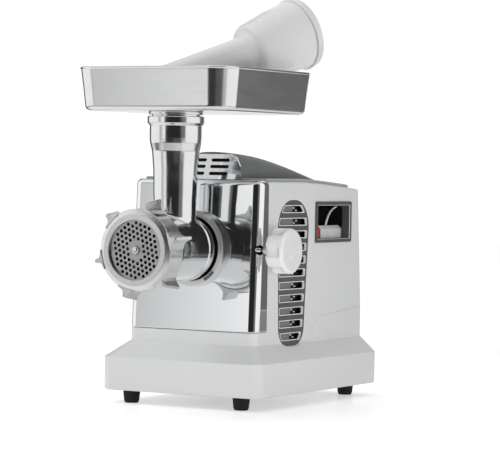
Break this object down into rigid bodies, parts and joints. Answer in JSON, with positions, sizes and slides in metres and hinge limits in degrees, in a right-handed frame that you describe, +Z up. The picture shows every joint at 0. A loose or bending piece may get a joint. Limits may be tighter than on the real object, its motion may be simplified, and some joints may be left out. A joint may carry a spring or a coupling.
{
  "type": "electric meat grinder",
  "caption": "Upright household electric meat grinder: white body, mirror-chrome front, screw-fed head with ring nut and plate, feed tray with pusher, lock knob and key switches.",
  "frame": {"origin": "centre of the machine's footprint box, on the table under the rubber feet", "axes": "+Z up; the grinding head points along -Y; the lock knob and the switch keys are on the +X side"},
  "size_m": [0.217, 0.374, 0.4496],
  "materials": {
    "white_plastic": "glossy white moulded ABS",
    "pale_plastic": "glossy off-white moulded plastic",
    "light_grey_plastic": "satin light grey plastic",
    "grey_plastic": "satin mid grey plastic",
    "dark_plastic": "fine-grained dark grey plastic",
    "black_gloss": "polished black plastic",
    "red_plastic": "glossy red plastic",
    "rubber": "soft black rubber",
    "chrome": "mirror chrome plate",
    "cast_aluminium": "polished cast aluminium with a satin front",
    "machined_aluminium": "plain die-cast and machined aluminium",
    "tray_steel": "polished stainless sheet",
    "steel": "ground steel",
    "iron": "varnished motor laminations",
    "copper": "enamelled copper",
    "brass": "brass",
    "nylon": "natural nylon",
    "carbon": "pressed carbon"
  },
  "bodies": {
    "machine": {"main_housing": "white_plastic", "base_plate": "grey_plastic", "front_fascia": "chrome", "head_socket": "chrome", "side_vent_right": "dark_plastic", "side_vent_left": "dark_plastic", "top_plate": "light_grey_plastic", "dome_cover": "grey_plastic", "top_vent_grille": "chrome", "switch_bezel": "dark_plastic", "switch_well": "black_gloss", "switch_block": "dark_plastic", "cord_gland": "rubber", "output_bearing": "brass", "gearbox_plate": "machined_aluminium", "gearbox_case": "machined_aluminium", "gearbox_screw_low": "steel", "gearbox_screw_high": "steel", "motor_bearing_front": "steel", "motor_bearing_rear": "steel", "stator_core": "iron", "motor_front_bracket": "machined_aluminium", "motor_rear_bracket": "machined_aluminium", "foot_front_left": "rubber", "base_screw_front_left": "steel", "foot_front_right": "rubber", "base_screw_front_right": "steel", "foot_rear_left": "rubber", "base_screw_rear_left": "steel", "foot_rear_right": "rubber", "base_screw_rear_right": "steel", "field_coil_left": "copper", "brush_holder_left": "brass", "carbon_brush_left": "carbon", "field_coil_right": "copper", "brush_holder_right": "brass", "carbon_brush_right": "carbon"},
    "head": {"head_body": "cast_aluminium", "auger_bush": "nylon", "grinding_plate": "steel"},
    "auger": {"auger": "machined_aluminium", "cutting_blade": "steel"},
    "ring": {"ring_nut": "cast_aluminium"},
    "tray": {"tray": "tray_steel"},
    "pusher": {"pusher": "pale_plastic"},
    "pusher_cap": {"pusher_cap": "pale_plastic"},
    "lock": {"lock_knob": "pale_plastic", "lock_screw": "steel"},
    "stop_key": {"stop_key": "red_plastic"},
    "reverse_key": {"reverse_key": "pale_plastic"},
    "slow_key": {"slow_key": "pale_plastic"},
    "fast_key": {"fast_key": "pale_plastic"},
    "rotor": {"motor_shaft": "steel", "rotor_core": "iron", "commutator": "copper", "cooling_fan": "nylon"},
    "first_gear": {"first_gear": "steel"},
    "second_gear": {"second_gear": "steel"},
    "output": {"output_coupling": "steel", "output_gear": "nylon"}
  },
  "joints": [
    {"name": "head_slide", "type": "slide", "parent": "machine", "child": "head", "axis": [0, -1, 0], "range_m": [0, 0.06]},
    {"name": "ring_turn", "type": "hinge", "parent": "head", "child": "ring", "pos_m": [-0.0095, -0.173, 0.17], "axis": [0, -1, 0], "range_deg": [0, 900]},
    {"name": "tray_lift", "type": "slide", "parent": "head", "child": "tray", "axis": [0, 0, 1], "range_m": [0, 0.1]},
    {"name": "pusher_lift", "type": "slide", "parent": "tray", "child": "pusher", "axis": [0, 0, 1], "range_m": [0, 0.12]},
    {"name": "cap_pull", "type": "slide", "parent": "pusher", "child": "pusher_cap", "axis": [0.4209, 0.8441, 0.3322], "range_m": [0, 0.04]},
    {"name": "lock_turn", "type": "hinge", "parent": "machine", "child": "lock", "pos_m": [0.0505, -0.0598, 0.17], "axis": [1, 0, 0], "range_deg": [0, 1080]},
    {"name": "motor_spin", "type": "hinge", "parent": "machine", "child": "rotor", "pos_m": [-0.0095, 0.024, 0.08], "axis": [0, 1, 0], "continuous": true},
    {"name": "first_gear_spin", "type": "hinge", "parent": "machine", "child": "first_gear", "pos_m": [-0.00446, 0.024, 0.11084], "axis": [0, 1, 0], "continuous": true},
    {"name": "second_gear_spin", "type": "hinge", "parent": "machine", "child": "second_gear", "pos_m": [-0.0375, 0.024, 0.12858], "axis": [0, 1, 0], "continuous": true},
    {"name": "output_spin", "type": "hinge", "parent": "machine", "child": "output", "pos_m": [-0.0095, 0.024, 0.17], "axis": [0, 1, 0], "continuous": true},
    {"name": "auger_spin", "type": "hinge", "parent": "head", "child": "auger", "pos_m": [-0.0095, 0.024, 0.17], "axis": [0, 1, 0], "continuous": true},
    {"name": "stop_press", "type": "hinge", "parent": "machine", "child": "stop_key", "pos_m": [0.0345, 0.104, 0.187], "axis": [0, 1, 0], "range_deg": [0, 5], "stiffness_Nm_per_rad": 0.6},
    {"name": "reverse_press", "type": "hinge", "parent": "machine", "child": "reverse_key", "pos_m": [0.0345, 0.104, 0.187], "axis": [0, 1, 0], "range_deg": [0, 5], "stiffness_Nm_per_rad": 0.6},
    {"name": "slow_press", "type": "hinge", "parent": "machine", "child": "slow_key", "pos_m": [0.0345, 0.104, 0.187], "axis": [0, 1, 0], "range_deg": [0, 5], "stiffness_Nm_per_rad": 0.6},
    {"name": "fast_press", "type": "hinge", "parent": "machine", "child": "fast_key", "pos_m": [0.0345, 0.104, 0.187], "axis": [0, 1, 0], "range_deg": [0, 5], "stiffness_Nm_per_rad": 0.6}
  ],
  "couplings": [
    {"joint": "first_gear_spin", "follows": "motor_spin", "ratio": -0.25},
    {"joint": "second_gear_spin", "follows": "motor_spin", "ratio": 0.0625},
    {"joint": "output_spin", "follows": "motor_spin", "ratio": -0.015625},
    {"joint": "auger_spin", "follows": "motor_spin", "ratio": -0.015625}
  ]
}
